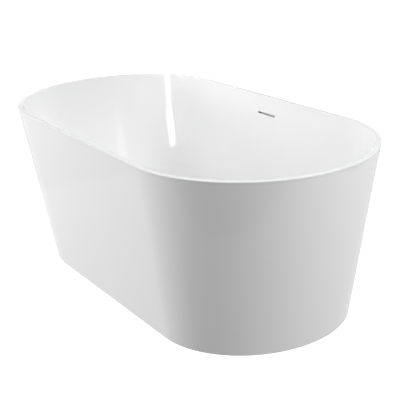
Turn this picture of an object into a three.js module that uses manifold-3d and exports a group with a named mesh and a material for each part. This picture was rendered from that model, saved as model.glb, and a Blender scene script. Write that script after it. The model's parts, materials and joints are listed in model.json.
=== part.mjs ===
// Freestanding oval bathtub: a double-walled acrylic tub on a steel frame with levelling feet,
// a click waste with its trap, and a slot overflow.
// Millimetres, +Z up. The origin is on the floor under the middle of the tub.
// X runs along the tub, Y across it; the overflow slot is in the +Y long wall.
import * as THREE from 'three';
import { LoftGeometry } from 'three/addons/geometries/LoftGeometry.js';
import { mergeVertices } from 'three/addons/utils/BufferGeometryUtils.js';
import Module from 'manifold-3d';

const wasm = await Module();
wasm.setup();

// ---- Driving dimensions ----

const LENGTH = 1700;
const WIDTH = 800;
const HEIGHT = 600;
const END_DEPTH = 425; // length of each rounded end of the rim, along X
const BASE_LENGTH = 1420;
const BASE_WIDTH = 661;
const BASE_END_DEPTH = 319;
const END_STEPS = 24; // facets round each end

const SHELL = 5; // thickness of the acrylic
const GAP = 0.3; // clearance between pieces that meet
const RIM_WIDTH = 18;
const RIM_DEPTH = 8; // height of the turned-down outer edge of the rim
const RIM_ROUND = 2.5;
const INNER_LEAN = 0.1; // how much more the inner wall leans than the outer one
const SKIRT_CLEARANCE = 3; // skirt above the floor
const SKIRT_EDGE = 4; // rounding of the skirt's lower edge
const FLOOR_TOP = 150; // basin floor at the waste
const FLOOR_FALL = 4;
const FLOOR_FILLET = 80;
const FILLET_STEPS = 6;
const DRAIN_DISH = 40; // radius of the flat round the waste
const DRAIN_HOLE = 24; // radius

const SLOT_LENGTH = 105;
const SLOT_HEIGHT = 8;
const SLOT_DROP = 63; // slot centre below the rim top

const BATTEN_WIDTH = 20;
const BATTEN_HEIGHT = 40;
const BOARD_THICKNESS = 12;
const BOARD_LENGTH = 1180;
const BOARD_WIDTH = 390;
const BOARD_HOLE = 55; // radius
const PILOT_RADIUS = 2.6; // pilot holes for the frame screws
const PILOT_DEPTH = 10;

const TUBE = 30; // square tube of the frame
const TUBE_WALL = 2;
const RAIL_LENGTH = 1040;
const RAIL_Y = 150;
const CROSSBAR_X = { left: -400, middle: 170, right: 400 };
const FOOT_X = 480;
const FOOT_ROD = 6; // radius, M12 thread
const INSERT_RADIUS = 9; // hole in a tube for a foot's threaded insert
const SCREW_X = 300;
const SCREW_HOLE = 3.2; // radius
const HEAD_HOLE = 8; // radius of the access hole for a screw's head
const BRACKET_X = 400;
const BRACKET_WIDTH = 24;
const BRACKET_SHEET = 3;
const PAD_RADIUS = 25;
const PAD_HEIGHT = 12;

const HOSE_RADIUS = 12.5;
const HOSE_BORE = 10.3;
const SPIGOT_RADIUS = 9.5;
const SPIGOT_BORE = 7.5;
const CLIP_WIDTH = 10;
const PORT_Z = 118; // overflow port on the waste body

const PAST = 5; // how far a cutting shape runs past the piece that it cuts

const battenBottom = SKIRT_CLEARANCE + 2;
const battenTop = battenBottom + BATTEN_HEIGHT;
const boardTop = FLOOR_TOP - SHELL - GAP;
const boardBottom = boardTop - BOARD_THICKNESS;
const tubeTop = boardBottom - GAP;
const tubeBottom = tubeTop - TUBE;
const tubeMid = tubeTop - TUBE / 2;

// ---- Materials ----

const material = (color, roughness, metalness = 0) =>
  new THREE.MeshStandardMaterial({ color, roughness, metalness });

const acrylic = material(0xf1f1f2, 0.08);
const timber = material(0xc9b083, 0.8);
const resinBoard = material(0xd8cfb4, 0.7);
const galvanised = material(0xa9adb0, 0.4, 0.9);
const zincPlate = material(0xc4c6c2, 0.35, 0.9);
const chrome = material(0xd8dadc, 0.08, 1);
const rubber = material(0x2b2b2d, 0.85);
const padPlastic = material(0x3c3d40, 0.6);
const wastePlastic = material(0xe6e6e3, 0.4);
const hosePlastic = material(0xb9bbbd, 0.5);

// ---- Shape helpers ----

const group = new THREE.Group();

function addPart(name, geometry, pieceMaterial, position = [0, 0, 0], rotation = [0, 0, 0]) {
  const mesh = new THREE.Mesh(geometry, pieceMaterial.clone());
  mesh.name = name;
  mesh.position.set(...position);
  mesh.rotation.set(...rotation);
  group.add(mesh);
  return mesh;
}

function toSolid(geometry) {
  const bare = new THREE.BufferGeometry();
  bare.setAttribute('position', geometry.attributes.position);
  bare.setIndex(geometry.index);
  const merged = mergeVertices(bare, 1e-4);
  const mesh = new wasm.Mesh({
    numProp: 3,
    vertProperties: new Float32Array(merged.attributes.position.array),
    triVerts: new Uint32Array(merged.index.array),
  });
  return new wasm.Manifold(mesh);
}

function toGeometry(solid) {
  const mesh = solid.getMesh();
  const geometry = new THREE.BufferGeometry();
  geometry.setAttribute('position', new THREE.BufferAttribute(mesh.vertProperties, 3));
  geometry.setIndex(new THREE.BufferAttribute(mesh.triVerts, 1));
  geometry.computeVertexNormals();
  return geometry;
}

function cut(geometry, ...tools) {
  let solid = toSolid(geometry);
  for (const tool of tools) solid = solid.subtract(toSolid(tool));
  return toGeometry(solid);
}

function join(geometry, ...others) {
  let solid = toSolid(geometry);
  for (const other of others) solid = solid.add(toSolid(other));
  return toGeometry(solid);
}

// A closed ring or disc turned about +Z from [radius, z] points.
// The points run anticlockwise with the radius to the right and z up.
function turned(points, sides = 24) {
  const profile = points.map(([radius, z]) => new THREE.Vector2(radius, z));
  return new THREE.LatheGeometry(profile, sides).rotateX(Math.PI / 2);
}

// A plain ring between two radii, or a disc when the inner radius is 0.
function ring(inner, outer, low, high, sides = 24) {
  if (inner === 0) return turned([[0, low], [outer, low], [outer, high], [0, high]], sides);
  return turned([[inner, low], [outer, low], [outer, high], [inner, high], [inner, low]], sides);
}

function block(width, depth, height, x, y, z) {
  return new THREE.BoxGeometry(width, depth, height).translate(x, y, z);
}

// ---- The oval outline of the tub ----

// Size of the outer outline at a height: it runs straight from the base to the rim.
function outerSize(z) {
  const t = Math.min(z / (HEIGHT - RIM_ROUND), 1);
  return {
    halfLength: THREE.MathUtils.lerp(BASE_LENGTH, LENGTH, t) / 2,
    halfWidth: THREE.MathUtils.lerp(BASE_WIDTH, WIDTH, t) / 2,
    endDepth: THREE.MathUtils.lerp(BASE_END_DEPTH, END_DEPTH, t),
  };
}

// One ring of points: two half-elliptical ends joined by straight sides.
function ovalRing({ halfLength, halfWidth, endDepth }, z) {
  const straight = halfLength - endDepth;
  const points = [];
  for (const side of [1, -1]) {
    for (let i = 0; i <= END_STEPS; i++) {
      const angle = (i / END_STEPS - 0.5) * Math.PI;
      const x = side * (straight + endDepth * Math.cos(angle));
      const y = side * halfWidth * Math.sin(angle);
      points.push(new THREE.Vector3(x, y, z));
    }
  }
  return points;
}

// The outline at a height, moved inwards by an inset.
function insetRing(z, inset) {
  const size = outerSize(z);
  size.halfLength -= inset;
  size.halfWidth -= inset;
  size.endDepth -= inset;
  return ovalRing(size, z);
}

function loft(rings) {
  return new LoftGeometry(rings, { capStart: true, capEnd: true });
}

// Inset of the basin's inner wall at a height.
function wallInset(z) {
  return RIM_WIDTH + (HEIGHT - z) * INNER_LEAN;
}

// Rings of the basin from the waste up to the rim.
// A positive thickness gives the underside of the shell.
function basinRings(thickness, top) {
  const floor = FLOOR_TOP - thickness;
  const fillet = FLOOR_FILLET + thickness;
  const drainSize = { halfLength: DRAIN_DISH, halfWidth: DRAIN_DISH, endDepth: DRAIN_DISH };
  const rings = [ovalRing(drainSize, floor)];
  for (let i = 0; i <= FILLET_STEPS; i++) {
    const angle = (i / FILLET_STEPS) * (Math.PI / 2);
    const z = floor + FLOOR_FALL + fillet * (1 - Math.cos(angle));
    const inset = wallInset(z) - thickness + fillet * (1 - Math.sin(angle));
    rings.push(insetRing(z, inset));
  }
  rings.push(insetRing(top, wallInset(top) - thickness));
  return rings;
}

// ---- The overflow slot's own frame ----

const slotZ = HEIGHT - SLOT_DROP;
const slotY = outerSize(slotZ).halfWidth - wallInset(slotZ);
const sideRun = (WIDTH - BASE_WIDTH) / 2 / HEIGHT + INNER_LEAN; // inner wall, Y per Z
const wallTilt = Math.atan(sideRun);

// Moves a shape made at the slot (outwards = +Y, square to the wall) to its place.
function atSlot(geometry) {
  return geometry.rotateX(-wallTilt).translate(0, slotY, slotZ);
}

// A flat bar with round ends, lying along X and extruded along +Y.
function slotBar(length, height, low, high) {
  const radius = height / 2;
  const shape = new THREE.Shape();
  shape.absarc(length / 2 - radius, 0, radius, -Math.PI / 2, Math.PI / 2);
  shape.absarc(-length / 2 + radius, 0, radius, Math.PI / 2, Math.PI * 1.5);
  const options = { depth: high - low, bevelEnabled: false, curveSegments: 6 };
  return new THREE.ExtrudeGeometry(shape, options).rotateX(-Math.PI / 2).translate(0, low, 0);
}

// ---- Shells ----

function makeBasin() {
  const lipBottom = HEIGHT - RIM_DEPTH;
  const outside = [
    ...basinRings(SHELL, lipBottom),
    insetRing(lipBottom, 0),
    insetRing(HEIGHT - RIM_ROUND, 0),
    insetRing(HEIGHT - RIM_ROUND * 0.3, RIM_ROUND * 0.3),
    insetRing(HEIGHT, RIM_ROUND),
  ];
  const cavity = [
    ...basinRings(0, HEIGHT - RIM_ROUND),
    insetRing(HEIGHT - RIM_ROUND * 0.3, RIM_WIDTH - RIM_ROUND * 0.3),
    insetRing(HEIGHT, RIM_WIDTH - RIM_ROUND),
    insetRing(HEIGHT + PAST, RIM_WIDTH - RIM_ROUND),
  ];
  const drain = ring(0, DRAIN_HOLE, FLOOR_TOP - SHELL - PAST, FLOOR_TOP + PAST);
  const slot = atSlot(slotBar(SLOT_LENGTH + GAP * 2, SLOT_HEIGHT + GAP * 2, -PAST, SHELL + PAST));
  addPart('inner_basin', cut(loft(outside), loft(cavity), drain, slot), acrylic);
}

function makeSkirt() {
  const top = HEIGHT - RIM_DEPTH - GAP;
  const outside = [
    insetRing(SKIRT_CLEARANCE, SKIRT_EDGE),
    insetRing(SKIRT_CLEARANCE + SKIRT_EDGE * 0.3, SKIRT_EDGE * 0.3),
    insetRing(SKIRT_CLEARANCE + SKIRT_EDGE, 0),
    insetRing(top, 0),
  ];
  const inside = [insetRing(SKIRT_CLEARANCE - PAST, SHELL), insetRing(top + PAST, SHELL)];
  addPart('outer_skirt', cut(loft(outside), loft(inside)), acrylic);
}

function makeBatten() {
  const outer = SHELL + GAP;
  const inner = outer + BATTEN_WIDTH;
  const outside = loft([insetRing(battenBottom, outer), insetRing(battenTop, outer)]);
  const inside = loft([insetRing(battenBottom - PAST, inner), insetRing(battenTop + PAST, inner)]);
  addPart('base_batten', cut(outside, inside), timber);
}

function makeBoard() {
  const halfWidth = BOARD_WIDTH / 2;
  const size = { halfLength: BOARD_LENGTH / 2, halfWidth, endDepth: halfWidth };
  const board = loft([ovalRing(size, boardBottom), ovalRing(size, boardTop)]);
  const hole = ring(0, BOARD_HOLE, boardBottom - PAST, boardTop + PAST);
  const pilot = ring(0, PILOT_RADIUS, boardBottom - PAST, boardBottom + PILOT_DEPTH, 12);
  const pilots = screwPlaces.map(([x, y]) => pilot.clone().translate(x, y, 0));
  addPart('base_board', cut(board, hole, ...pilots), resinBoard);
}

// ---- Steel frame ----

const screwPlaces = [[-SCREW_X, -RAIL_Y], [SCREW_X, -RAIL_Y], [-SCREW_X, RAIL_Y], [SCREW_X, RAIL_Y]];
const feet = [
  { name: 'front_left', x: -FOOT_X, y: -RAIL_Y },
  { name: 'front_right', x: FOOT_X, y: -RAIL_Y },
  { name: 'back_left', x: -FOOT_X, y: RAIL_Y },
  { name: 'back_right', x: FOOT_X, y: RAIL_Y },
  { name: 'middle', x: CROSSBAR_X.middle, y: 0 },
];

// An open-ended square tube along X, centred on the origin.
function squareTube(length) {
  const inner = TUBE - 2 * TUBE_WALL;
  return cut(block(length, TUBE, TUBE, 0, 0, 0), block(length + 2, inner, inner, 0, 0, 0));
}

function makeRails() {
  const footHole = ring(0, INSERT_RADIUS, tubeBottom - PAST, tubeMid);
  const screwHole = ring(0, SCREW_HOLE, tubeBottom - PAST, tubeTop + PAST, 12);
  const headHole = ring(0, HEAD_HOLE, tubeBottom - PAST, tubeMid, 16);
  for (const [name, side] of [['front', -1], ['back', 1]]) {
    const y = side * RAIL_Y;
    const holes = [];
    for (const end of [-1, 1]) {
      holes.push(footHole.clone().translate(end * FOOT_X, y, 0));
      holes.push(screwHole.clone().translate(end * SCREW_X, y, 0));
      holes.push(headHole.clone().translate(end * SCREW_X, y, 0));
    }
    const tube = squareTube(RAIL_LENGTH).translate(0, y, tubeMid);
    addPart(`frame_rail_${name}`, cut(tube, ...holes), galvanised);
  }
}

function makeCrossbars() {
  const length = 2 * (RAIL_Y - TUBE / 2 - GAP);
  for (const [name, x] of Object.entries(CROSSBAR_X)) {
    let bar = squareTube(length).rotateZ(Math.PI / 2).translate(x, 0, tubeMid);
    if (name === 'middle') {
      bar = cut(bar, ring(0, INSERT_RADIUS, tubeBottom - PAST, tubeMid).translate(x, 0, 0));
    }
    addPart(`frame_crossbar_${name}`, bar, galvanised);
  }
}

function makeFrameScrews() {
  const headRadius = 6;
  const headHeight = 4;
  const shank = 2.3;
  const headTop = tubeTop - TUBE_WALL - GAP;
  const headBottom = headTop - headHeight;
  const tip = boardBottom + PILOT_DEPTH - 1;
  const profile = [
    [0, headBottom], [headRadius, headBottom], [headRadius, headTop],
    [shank, headTop], [shank, tip - 3], [0, tip],
  ];
  screwPlaces.forEach(([x, y], index) => {
    addPart(`frame_screw_${index + 1}`, turned(profile, 12), zincPlate, [x, y, 0]);
  });
}

// A steel strip from a rail's outer side down to the batten, with a foot on each end.
function makeSkirtBrackets() {
  const railSide = RAIL_Y + TUBE / 2 + GAP;
  const low = battenTop + GAP;
  const battenMid = outerSize(battenTop).halfWidth - SHELL - BATTEN_WIDTH / 2;
  const shape = new THREE.Shape();
  shape.moveTo(railSide, tubeTop);
  shape.lineTo(railSide, low);
  shape.lineTo(battenMid, low);
  shape.lineTo(battenMid, low + BRACKET_SHEET);
  shape.lineTo(railSide + BRACKET_SHEET, low + BRACKET_SHEET);
  shape.lineTo(railSide + BRACKET_SHEET, tubeTop);
  shape.closePath();
  const options = { depth: BRACKET_WIDTH, bevelEnabled: false };
  for (const [end, x] of [['left', -BRACKET_X], ['right', BRACKET_X]]) {
    for (const [side, turn] of [['back', 0], ['front', Math.PI]]) {
      const strip = new THREE.ExtrudeGeometry(shape, options);
      strip.translate(-railSide, 0, -BRACKET_WIDTH / 2).scale(endReach(x), 1, 1);
      strip.translate(railSide, 0, 0).rotateX(Math.PI / 2).rotateZ(Math.PI / 2 + turn);
      addPart(`skirt_bracket_${side}_${end}`, strip.translate(x, 0, 0), zincPlate);
    }
  }
}

// How far the base outline still reaches across at x, as a part of its full half width.
function endReach(x) {
  const { halfLength, endDepth } = outerSize(BATTEN_HEIGHT);
  const along = Math.max(0, Math.abs(x) - (halfLength - endDepth)) / endDepth;
  return Math.sqrt(1 - along * along);
}

// ---- Levelling feet ----

// A hexagonal prism with a round hole.
function hexNut(cornerRadius, hole, low, high, holeSides = 12) {
  return cut(ring(0, cornerRadius, low, high, 6), ring(0, hole, low - PAST, high + PAST, holeSides));
}

function makeFoot({ name, x, y }) {
  const soleTop = 4;
  const socketFloor = 5;
  const ballRadius = 8;
  const socketRadius = ballRadius + GAP;
  const hexLow = PAD_HEIGHT + 4;
  const hexHigh = PAD_HEIGHT + 14;
  const nutHeight = 7;
  const place = [x, y, 0];
  const pad = turned([
    [0, 0], [PAD_RADIUS - 1, 0], [PAD_RADIUS, 1], [PAD_RADIUS, soleTop], [PAD_RADIUS - 5, 8],
    [12, PAD_HEIGHT], [socketRadius, PAD_HEIGHT], [socketRadius, socketFloor], [0, socketFloor],
  ], 18);
  addPart(`foot_pad_${name}`, pad, padPlastic, place);

  const rodTop = tubeTop - TUBE_WALL - 2;
  const shank = turned([
    [0, socketFloor + GAP], [ballRadius, socketFloor + GAP], [ballRadius, PAD_HEIGHT + 1],
    [FOOT_ROD, PAD_HEIGHT + 3], [FOOT_ROD, rodTop - 1], [FOOT_ROD - 1, rodTop], [0, rodTop],
  ], 12);
  const hexagon = ring(0, 10, hexLow, hexHigh, 6);
  addPart(`foot_rod_${name}`, join(shank, hexagon), zincPlate, place);

  const insertBottom = tubeBottom - 1.5;
  const insertTop = tubeBottom + 14;
  const nutTop = insertBottom - GAP;
  const nutHole = (FOOT_ROD + GAP) / Math.cos(Math.PI / 12);
  addPart(`foot_lock_nut_${name}`, hexNut(10.5, nutHole, nutTop - nutHeight, nutTop), zincPlate, place);

  const neck = INSERT_RADIUS - GAP;
  const collarTop = tubeBottom - GAP;
  const insert = turned([
    [nutHole, insertBottom], [12, insertBottom], [12, collarTop], [neck, collarTop],
    [neck, insertTop], [nutHole, insertTop], [nutHole, insertBottom],
  ], 12);
  addPart(`foot_insert_${name}`, insert, zincPlate, place);
}

// ---- Waste and plug ----

const TAIL_RADIUS = 20.4;
const TAIL_BORE = 18;
const TAIL_BOTTOM = 80;
const FLANGE_RADIUS = 36;
const flangeLow = FLOOR_TOP + 2.1;
const flangeHigh = flangeLow + 3;
const STEM_RADIUS = 3.2;
const GUIDE_BORE = 3.6;
const PORT_END = 68; // how far the overflow port reaches, along Y

// A rod about the overflow port's axis, which runs along +Y.
function alongY(radius, low, high) {
  return ring(0, radius, low, high, 20).rotateX(-Math.PI / 2).translate(0, 0, PORT_Z);
}

function makeWasteFlange() {
  const body = turned([
    [TAIL_BORE, TAIL_BOTTOM], [TAIL_RADIUS, TAIL_BOTTOM], [TAIL_RADIUS, flangeLow],
    [FLANGE_RADIUS, flangeLow], [FLANGE_RADIUS, flangeLow + 1.2], [FLANGE_RADIUS - 4, flangeHigh],
    [TAIL_BORE + 2, flangeHigh], [TAIL_BORE, flangeHigh - 2], [TAIL_BORE, TAIL_BOTTOM],
  ]);
  const guideLow = 126;
  const guideHigh = 148;
  const guideRadius = 7;
  const armLength = TAIL_BORE - guideRadius + 2;
  const armHeight = guideHigh - guideLow - 8;
  const armX = (TAIL_BORE + guideRadius) / 2;
  const guide = ring(GUIDE_BORE, guideRadius, guideLow, guideHigh, 20);
  const arms = [0, 1, 2].map((i) => {
    const arm = block(armLength, 3, armHeight, armX, 0, guideHigh - guideRadius);
    return arm.rotateZ(i * 2 * Math.PI / 3 + Math.PI / 6);
  });
  const windows = [0, 1].map((i) => block(14, 60, 9, 0, 0, PORT_Z - 2).rotateZ(i * Math.PI / 2));
  const tail = cut(body, ...windows);
  addPart('waste_flange', join(tail, guide, ...arms), chrome);
}

function makeWaste() {
  makeWasteFlange();
  const gasketRadius = 35;
  const gasketBottom = boardTop - 2.2;
  const topGasket = ring(DRAIN_HOLE - 2, gasketRadius, FLOOR_TOP + GAP, flangeLow - GAP);
  addPart('waste_gasket_top', topGasket, rubber);
  addPart('waste_gasket_bottom', ring(TAIL_RADIUS + 1, gasketRadius, gasketBottom, boardTop), rubber);

  const bodyTop = gasketBottom - GAP;
  const bodyBottom = 100;
  const bore = TAIL_RADIUS + GAP;
  const inner = 27;
  const outer = 30;
  const collar = 34;
  const chamber = turned([
    [bore, bodyTop - 4], [inner, bodyTop - 4], [inner, bodyBottom + 3], [bore, bodyBottom + 3],
    [bore, bodyBottom], [outer, bodyBottom], [outer, bodyTop - 6], [collar, bodyTop - 4],
    [collar, bodyTop], [bore, bodyTop], [bore, bodyTop - 4],
  ]);
  const port = alongY(SPIGOT_RADIUS, 28, PORT_END);
  const portBore = alongY(SPIGOT_BORE, 20, PORT_END + PAST);
  addPart('waste_body', cut(join(chamber, port), portBore), wastePlastic);

  const nutTop = bodyBottom - GAP;
  addPart('waste_back_nut', hexNut(33, bore, nutTop - 8, nutTop, 24), wastePlastic);
}

function makePlug() {
  const seat = flangeHigh + GAP;
  const sealTop = seat + 1.6;
  addPart('plug_seal', ring(24, 30, seat, sealTop), rubber);
  const capLow = sealTop + GAP;
  const socket = STEM_RADIUS + GAP;
  const cap = turned([
    [socket, capLow], [31, capLow], [32, capLow + 1.5], [31, capLow + 3],
    [24, capLow + 4.6], [12, capLow + 5.6], [0, capLow + 6],
    [0, capLow + 3.5], [socket, capLow + 3.5], [socket, capLow],
  ]);
  addPart('plug_cap', cap, chrome);
  const stemTop = capLow + 3.2;
  const stopLow = 104;
  const stopRadius = 5;
  const stem = turned([
    [0, stopLow], [stopRadius, stopLow], [stopRadius, stopLow + 4], [STEM_RADIUS, stopLow + 5],
    [STEM_RADIUS, stemTop], [0, stemTop],
  ], 20);
  addPart('plug_stem', stem, zincPlate);
}

// ---- Trap and outlet ----

const NECK_OUTER = 24;
const NECK_BORE = 21;
const NECK_TOP = 87;
const UNION_RADIUS = 31;
const TRAP_RADIUS = 45;
const OUTLET_Z = 46;
const OUTLET_END = -230;
const SOCKET_OUTER = 21;
const SOCKET_BORE = 18.2;
const SOCKET_END = -85;
const PIPE_OUTER = 17.8;
const PIPE_BORE = 14.8;
const OUTLET_NUT_RADIUS = 27;

// A ring about the X axis, for the outlet.
function ringAlongX(inner, outer, low, high, sides = 20) {
  return ring(inner, outer, low, high, sides).rotateY(Math.PI / 2);
}

function makeTrap() {
  const wall = 3;
  const inner = TRAP_RADIUS - wall;
  const bottom = 14;
  const top = 70;
  const cup = turned([
    [0, bottom], [TRAP_RADIUS - 6, bottom], [TRAP_RADIUS, bottom + 6], [TRAP_RADIUS, top - 2],
    [TRAP_RADIUS - 2, top], [NECK_OUTER, top], [NECK_OUTER, NECK_TOP], [0, NECK_TOP],
  ]);
  const hollow = turned([
    [0, bottom + wall], [inner - 5, bottom + wall], [inner, bottom + wall + 5],
    [inner, top - wall], [0, top - wall],
  ]);
  const neckBore = ring(0, NECK_BORE, top - wall - PAST, NECK_TOP + PAST);
  const socket = ringAlongX(0, SOCKET_OUTER, SOCKET_END, -TRAP_RADIUS + 6);
  const socketBore = ringAlongX(0, SOCKET_BORE, SOCKET_END - PAST, -TRAP_RADIUS + 15);
  const outside = join(cup, socket.translate(0, 0, OUTLET_Z));
  const trap = cut(outside, hollow, neckBore, socketBore.translate(0, 0, OUTLET_Z));
  addPart('trap_body', trap, wastePlastic);

  const collar = NECK_OUTER + GAP;
  const seat = NECK_TOP + GAP;
  const unionLow = 72;
  const unionHigh = seat + 3.5;
  const union = turned([
    [collar, unionLow], [UNION_RADIUS, unionLow], [UNION_RADIUS, unionHigh],
    [TAIL_RADIUS + GAP, unionHigh], [TAIL_RADIUS + GAP, seat], [collar, seat], [collar, unionLow],
  ], 24);
  addPart('trap_union_nut', union, wastePlastic);
}

function makeOutlet() {
  const pipe = ringAlongX(PIPE_BORE, PIPE_OUTER, OUTLET_END, SOCKET_END + 25);
  addPart('outlet_pipe', pipe, wastePlastic, [0, 0, OUTLET_Z]);
  const pipeHole = PIPE_OUTER + GAP;
  const socketHole = SOCKET_OUTER + GAP;
  const face = SOCKET_END - GAP;
  const nutLow = face - 3;
  const nutHigh = nutLow + 20;
  const nut = turned([
    [pipeHole, nutLow], [OUTLET_NUT_RADIUS, nutLow], [OUTLET_NUT_RADIUS, nutHigh],
    [socketHole, nutHigh], [socketHole, face], [pipeHole, face], [pipeHole, nutLow],
  ], 24);
  addPart('outlet_nut', nut.rotateY(Math.PI / 2), wastePlastic, [0, 0, OUTLET_Z]);
}

// ---- Overflow ----

const TRIM_LIP = 1.2;
const TRIM_WALL = 1;
const GASKET_HEIGHT = 20;
const DUCT_WIDTH = 124;
const DUCT_WALL = 1.8;
const DUCT_DROP = 150; // length of the duct below the slot
const DUCT_TOP = 12; // height of the duct above the slot
const OPENING_LENGTH = SLOT_LENGTH - 2.4;
const gasketLow = SHELL + 1;
const gasketHigh = gasketLow + 1.4;
const ductLow = gasketHigh + GAP;
const DUCT_DEPTH_TOP = 7.6;
const DUCT_DEPTH_BOTTOM = 21.6;
const DUCT_FOOT = 26; // height of the deep part at the hose
const SPIGOT_SETBACK = 11.8; // spigot centre behind the duct's front face
const SPIGOT_LENGTH = 24;
const HOSE_OVERLAP = 20; // how far the hose is pushed onto the spigot

function makeOverflowTrim() {
  const lipLength = SLOT_LENGTH + 2 * TRIM_LIP;
  const lip = slotBar(lipLength, SLOT_HEIGHT + 2 * TRIM_LIP, -1.2 - GAP, -GAP);
  const sleeve = slotBar(SLOT_LENGTH, SLOT_HEIGHT, -GAP - 0.6, SHELL + 0.6);
  const opening = slotBar(OPENING_LENGTH, SLOT_HEIGHT - 2 * TRIM_WALL, -PAST, SHELL + PAST);
  addPart('overflow_trim', atSlot(cut(join(lip, sleeve), opening)), acrylic);
}

function makeOverflowGasket() {
  const outside = slotBar(DUCT_WIDTH, GASKET_HEIGHT, gasketLow, gasketHigh);
  const inside = slotBar(SLOT_LENGTH + 2 * GAP, SLOT_HEIGHT + 2 * GAP, 0, gasketHigh + PAST);
  addPart('overflow_gasket', atSlot(cut(outside, inside)), rubber);
}

// The side view of the duct as a wedge: thin behind the slot, deep at the hose.
function ductWedge(width, wall) {
  const shape = new THREE.Shape();
  const top = DUCT_TOP - wall;
  const bottom = -DUCT_DROP + wall;
  const deepBack = ductLow + DUCT_DEPTH_BOTTOM - wall;
  const thinBack = ductLow + DUCT_DEPTH_TOP - wall;
  shape.moveTo(ductLow + wall, bottom);
  shape.lineTo(deepBack, bottom);
  shape.lineTo(deepBack, bottom + DUCT_FOOT);
  shape.lineTo(thinBack, -SLOT_HEIGHT);
  shape.lineTo(thinBack, top);
  shape.lineTo(ductLow + wall, top);
  shape.closePath();
  const wedge = new THREE.ExtrudeGeometry(shape, { depth: width, bevelEnabled: false });
  return wedge.translate(0, 0, -width / 2).rotateX(Math.PI / 2).rotateZ(Math.PI / 2);
}

const spigotY = ductLow + SPIGOT_SETBACK;
const spigotEnd = -DUCT_DROP - SPIGOT_LENGTH;

function makeOverflowDuct() {
  const shell = ductWedge(DUCT_WIDTH, 0);
  const hollow = ductWedge(DUCT_WIDTH - 2 * DUCT_WALL, DUCT_WALL);
  const mouth = slotBar(OPENING_LENGTH, SLOT_HEIGHT - 1, 0, ductLow + DUCT_WALL + 1);
  const spigot = ring(0, SPIGOT_RADIUS, spigotEnd, -DUCT_DROP + 1, 20).translate(0, spigotY, 0);
  const bore = ring(0, SPIGOT_BORE, spigotEnd - PAST, -DUCT_DROP + PAST, 20).translate(0, spigotY, 0);
  addPart('overflow_duct', atSlot(cut(join(shell, spigot), hollow, mouth, bore)), wastePlastic);
}

// The hose runs down between the two shells, under the back rail and up to the waste body.
function makeOverflowHose() {
  const start = new THREE.Vector3(0, spigotY, spigotEnd + HOSE_OVERLAP);
  start.applyAxisAngle(new THREE.Vector3(1, 0, 0), -wallTilt);
  start.add(new THREE.Vector3(0, slotY, slotZ));
  const down = new THREE.Vector3(0, -Math.sin(wallTilt), -Math.cos(wallTilt));
  const route = [
    start,
    start.clone().addScaledVector(down, SPIGOT_LENGTH),
    start.clone().addScaledVector(down, 60),
    new THREE.Vector3(0, 338, 250),
    new THREE.Vector3(0, 318, 180),
    new THREE.Vector3(0, 282, 120),
    new THREE.Vector3(0, 228, 84),
    new THREE.Vector3(0, 168, 76),
    new THREE.Vector3(0, 120, 90),
    new THREE.Vector3(0, 96, 108),
    new THREE.Vector3(0, 74, PORT_Z),
    new THREE.Vector3(0, 63, PORT_Z),
    new THREE.Vector3(0, 52, PORT_Z),
  ];
  const path = new THREE.CatmullRomCurve3(route, false, 'centripetal');
  const section = new THREE.Shape().absarc(0, 0, HOSE_RADIUS, 0, Math.PI * 2);
  section.holes.push(new THREE.Path().absarc(0, 0, HOSE_BORE, 0, Math.PI * 2, true));
  const options = { steps: 34, curveSegments: 5, extrudePath: path };
  addPart('overflow_hose', new THREE.ExtrudeGeometry(section, options), hosePlastic);

  const half = CLIP_WIDTH / 2;
  const clip = ring(HOSE_RADIUS + GAP, HOSE_RADIUS + 1.5, -half, half, 24);
  const topPlace = start.clone().addScaledVector(down, 9);
  addPart('hose_clip_top', clip.clone().rotateX(-wallTilt), zincPlate, topPlace.toArray());
  addPart('hose_clip_bottom', clip.rotateX(Math.PI / 2), zincPlate, [0, PORT_END - 7, PORT_Z]);
}

// ---- Assembly ----

makeBasin();
makeSkirt();
makeBatten();
makeBoard();
makeRails();
makeCrossbars();
makeFrameScrews();
makeSkirtBrackets();
feet.forEach(makeFoot);
makeWaste();
makePlug();
makeTrap();
makeOutlet();
makeOverflowTrim();
makeOverflowGasket();
makeOverflowDuct();
makeOverflowHose();

export default group;
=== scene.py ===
"""The looks of the freestanding bathtub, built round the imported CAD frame. Metres, +Z up."""
import json
from math import atan, copysign, cos, inf, pi, radians, sin, sqrt

import bmesh
import bpy
from mathutils import Matrix, Vector


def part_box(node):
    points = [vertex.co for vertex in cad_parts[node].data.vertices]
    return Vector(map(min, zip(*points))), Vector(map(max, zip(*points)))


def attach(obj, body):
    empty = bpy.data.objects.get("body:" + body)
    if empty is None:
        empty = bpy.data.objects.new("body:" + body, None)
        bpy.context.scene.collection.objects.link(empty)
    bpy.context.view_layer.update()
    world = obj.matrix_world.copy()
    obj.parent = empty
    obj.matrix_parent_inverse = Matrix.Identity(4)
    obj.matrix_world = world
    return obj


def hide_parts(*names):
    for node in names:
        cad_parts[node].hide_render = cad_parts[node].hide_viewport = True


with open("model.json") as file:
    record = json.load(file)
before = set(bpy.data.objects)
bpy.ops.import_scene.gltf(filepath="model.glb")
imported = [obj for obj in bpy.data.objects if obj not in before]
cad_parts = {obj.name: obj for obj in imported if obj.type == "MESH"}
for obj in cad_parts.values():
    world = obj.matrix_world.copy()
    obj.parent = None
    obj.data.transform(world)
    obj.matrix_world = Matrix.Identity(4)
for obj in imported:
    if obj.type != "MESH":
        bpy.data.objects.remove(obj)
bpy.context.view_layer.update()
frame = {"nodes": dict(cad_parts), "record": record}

# ---- Driving dimensions, in metres ----

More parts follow.
